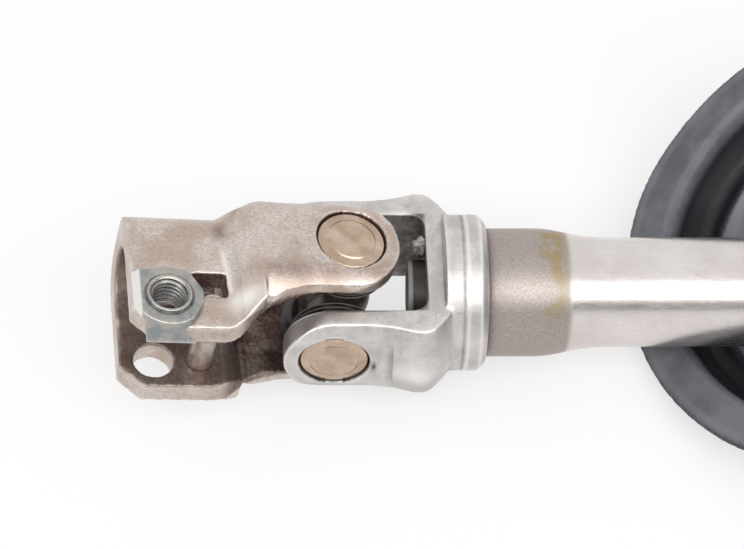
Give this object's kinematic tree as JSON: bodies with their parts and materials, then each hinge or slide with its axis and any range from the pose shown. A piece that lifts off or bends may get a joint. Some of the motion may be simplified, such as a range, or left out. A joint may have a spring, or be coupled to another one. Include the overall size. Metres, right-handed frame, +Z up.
{
  "type": "intermediate steering shaft",
  "caption": "Intermediate steering shaft with a pinch-clamp yoke and needle-bearing cross joint at each end, a splined sliding shaft in a tube, and an oblique rubber boot.",
  "frame": {"origin": "centre of the upper clamp yoke's bore, on the shaft's axis", "axes": "+X along the shaft towards the upper end, -X towards the lower joint, +Z up as the shaft lies at rest"},
  "size_m": [0.431, 0.1193, 0.0694],
  "materials": {
    "yoke_steel": "pressed and pickled, fine grain, light rust in the corners",
    "zinc_steel": "blue zinc plate, slightly worn",
    "pin_steel": "drawn, bright",
    "cross_steel": "forged, ground journals, oiled",
    "cup_steel": "drawn, tan heat colour",
    "needle_steel": "ground",
    "seal_rubber": "matte black",
    "cast_steel": "blasted, pale grey, satin",
    "black_plug": "matte black",
    "tube_steel": "drawn, satin, with a dark grey grainy swaged end",
    "sleeve_plastic": "moulded, natural",
    "spline_steel": "cold drawn, lightly greased",
    "boot_rubber": "slate black with a soft sheen",
    "bush_plastic": "moulded black"
  },
  "bodies": {
    "shaft": {"tube_yoke": "cast_steel", "yoke_plug": "black_plug", "outer_tube": "tube_steel", "spline_sleeve": "sleeve_plastic", "lower_cup_front": "cup_steel", "lower_cup_back": "cup_steel", "lower_needles_front": "needle_steel", "lower_needles_back": "needle_steel", "lower_seal_front": "seal_rubber", "lower_seal_back": "seal_rubber"},
    "lower_cross": {"lower_spider": "cross_steel"},
    "lower_clamp": {"lower_clamp_yoke": "yoke_steel", "lower_clamp_nut": "zinc_steel", "lower_locating_pin": "pin_steel", "lower_cup_top": "cup_steel", "lower_cup_bottom": "cup_steel", "lower_needles_top": "needle_steel", "lower_needles_bottom": "needle_steel", "lower_seal_top": "seal_rubber", "lower_seal_bottom": "seal_rubber"},
    "slider": {"inner_shaft": "spline_steel", "shaft_yoke": "cast_steel", "upper_cup_front": "cup_steel", "upper_cup_back": "cup_steel", "upper_needles_front": "needle_steel", "upper_needles_back": "needle_steel", "upper_seal_front": "seal_rubber", "upper_seal_back": "seal_rubber"},
    "upper_cross": {"upper_spider": "cross_steel"},
    "upper_clamp": {"upper_clamp_yoke": "yoke_steel", "upper_clamp_nut": "zinc_steel", "upper_locating_pin": "pin_steel", "upper_cup_top": "cup_steel", "upper_cup_bottom": "cup_steel", "upper_needles_top": "needle_steel", "upper_needles_bottom": "needle_steel", "upper_seal_top": "seal_rubber", "upper_seal_bottom": "seal_rubber"},
    "boot_turning": {"boot": "boot_rubber", "boot_bush": "bush_plastic"}
  },
  "joints": [
    {"name": "lower_swing", "type": "hinge", "parent": "shaft", "child": "lower_cross", "pos_m": [-0.3677, 0, 0], "axis": [0, 1, 0], "range_deg": [-39.5, 16.5]},
    {"name": "lower_turn", "type": "hinge", "parent": "lower_cross", "child": "lower_clamp", "pos_m": [-0.3677, 0, 0], "axis": [0.1994, 0, 0.9799], "range_deg": [-34.5, 21.5]},
    {"name": "shaft_slide", "type": "slide", "parent": "shaft", "child": "slider", "axis": [1, 0, 0], "range_m": [-0.03, 0.04]},
    {"name": "upper_swing", "type": "hinge", "parent": "slider", "child": "upper_cross", "pos_m": [-0.0377, 0, 0], "axis": [0, 1, 0], "range_deg": [-28, 28]},
    {"name": "upper_turn", "type": "hinge", "parent": "upper_cross", "child": "upper_clamp", "pos_m": [-0.0377, 0, 0], "axis": [0, 0, 1], "range_deg": [-28, 28]},
    {"name": "boot_turn", "type": "hinge", "parent": "shaft", "child": "boot_turning", "pos_m": [0, 0, 0], "axis": [1, 0, 0], "continuous": true}
  ]
}
